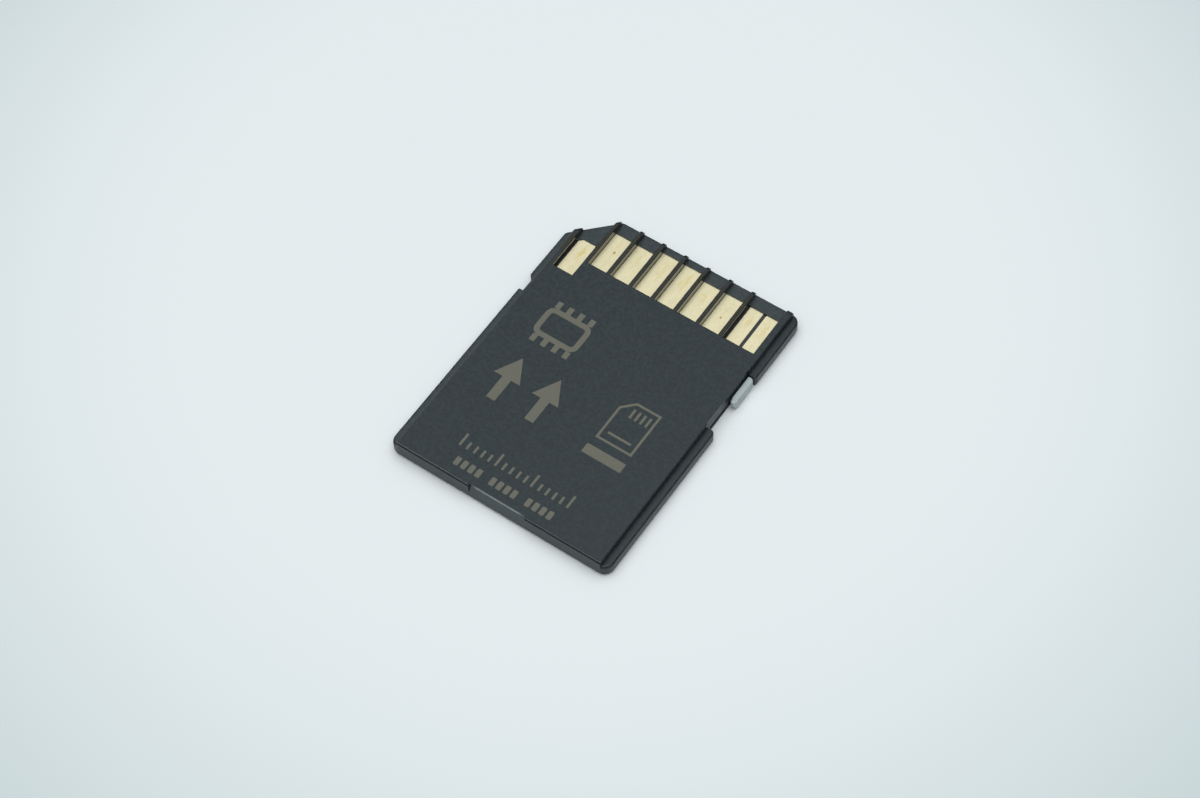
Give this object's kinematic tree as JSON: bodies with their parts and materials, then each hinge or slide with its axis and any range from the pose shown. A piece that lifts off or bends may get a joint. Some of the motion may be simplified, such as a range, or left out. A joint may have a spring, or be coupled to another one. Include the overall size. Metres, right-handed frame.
{
  "type": "sd memory card",
  "caption": "Full-size flash memory card with a cut corner, gold contacts in ribbed windows, a latch notch and a sliding write-protect tab.",
  "frame": {"origin": "centre of the card's outline, on the label face that lies down", "axes": "+X towards the write-protect slider's edge, +Y towards the contact end, +Z out of the contact face"},
  "size_m": [0.024, 0.032, 0.0021],
  "materials": {
    "shell_plastic": "fine-textured moulded black plastic",
    "circuit_board": "glass-fibre laminate with a black solder mask",
    "contact_gold": "pale gold plating with light wiping marks",
    "slider_plastic": "smooth pale grey moulded plastic",
    "chip_resin": "moulded epoxy chip package",
    "capacitor_body": "tan ceramic with tinned ends",
    "resistor_body": "dark glazed ceramic with tinned ends"
  },
  "bodies": {
    "card": {"back_shell": "shell_plastic", "front_shell": "shell_plastic", "circuit_board": "circuit_board", "contact_pad_1": "contact_gold", "contact_pad_2": "contact_gold", "contact_pad_3": "contact_gold", "contact_pad_4": "contact_gold", "contact_pad_5": "contact_gold", "contact_pad_6": "contact_gold", "contact_pad_7": "contact_gold", "contact_pad_8": "contact_gold", "contact_pad_9": "contact_gold", "flash_memory_chip": "chip_resin", "controller_chip": "chip_resin", "supply_capacitor_1": "capacitor_body", "supply_capacitor_2": "capacitor_body", "supply_capacitor_3": "capacitor_body", "pull_up_resistor_1": "resistor_body", "pull_up_resistor_2": "resistor_body", "pull_up_resistor_3": "resistor_body", "pull_up_resistor_4": "resistor_body"},
    "write_protect_slider": {"write_protect_slider": "slider_plastic"}
  },
  "joints": [
    {"name": "write_protect_slide", "type": "slide", "parent": "card", "child": "write_protect_slider", "axis": [0, -1, 0], "range_m": [0, 0.00339]}
  ]
}
